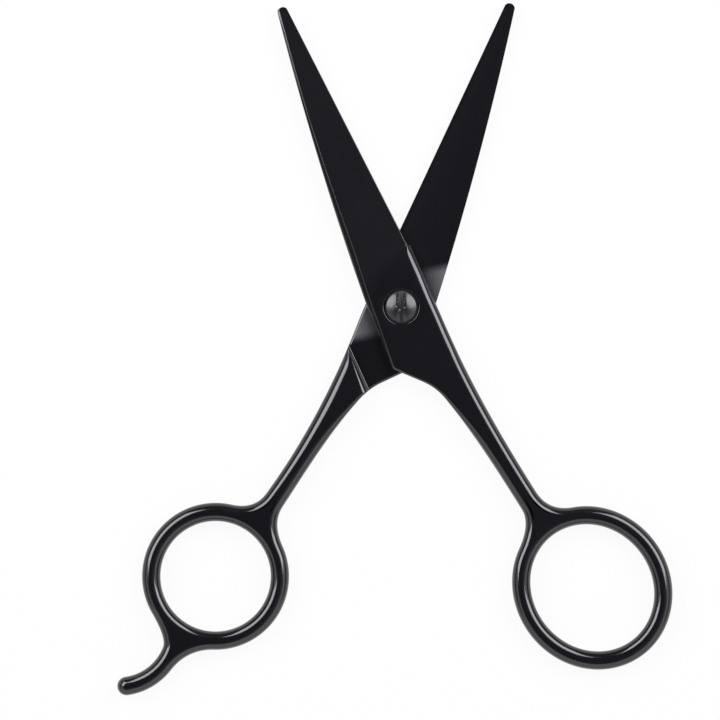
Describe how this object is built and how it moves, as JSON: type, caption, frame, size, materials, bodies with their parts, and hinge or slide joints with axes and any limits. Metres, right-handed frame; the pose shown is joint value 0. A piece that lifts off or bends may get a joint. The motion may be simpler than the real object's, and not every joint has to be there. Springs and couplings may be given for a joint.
{
  "type": "hair cutting shears",
  "caption": "Hair cutting shears with a black coating: two forged halves cross on a slotted tension screw, with offset ring handles and a curved finger rest.",
  "frame": {"origin": "on the pivot axis, in the plane that the shears lie on", "axes": "+Y along the middle line between the blades, towards the tips; +Z along the pivot axis, up through the screw's head"},
  "size_m": [0.1158, 0.1426, 0.0054],
  "materials": {
    "black_coating": "gloss",
    "screw_coating": "gloss",
    "washer_plastic": "matte"
  },
  "bodies": {
    "finger_half": {"finger_half": "black_coating"},
    "thumb_half": {"thumb_half": "black_coating"},
    "pivot_screw": {"pivot_screw": "screw_coating", "tension_washer": "washer_plastic"}
  },
  "joints": [
    {"name": "blade_pivot", "type": "hinge", "parent": "finger_half", "child": "thumb_half", "pos_m": [0, 0, 0.00228], "axis": [0, 0, 1], "range_deg": [-42, 75]},
    {"name": "tension_screw_turn", "type": "hinge", "parent": "finger_half", "child": "pivot_screw", "pos_m": [0, 0, 0.00228], "axis": [0, 0, 1], "range_deg": [-45, 45]}
  ]
}
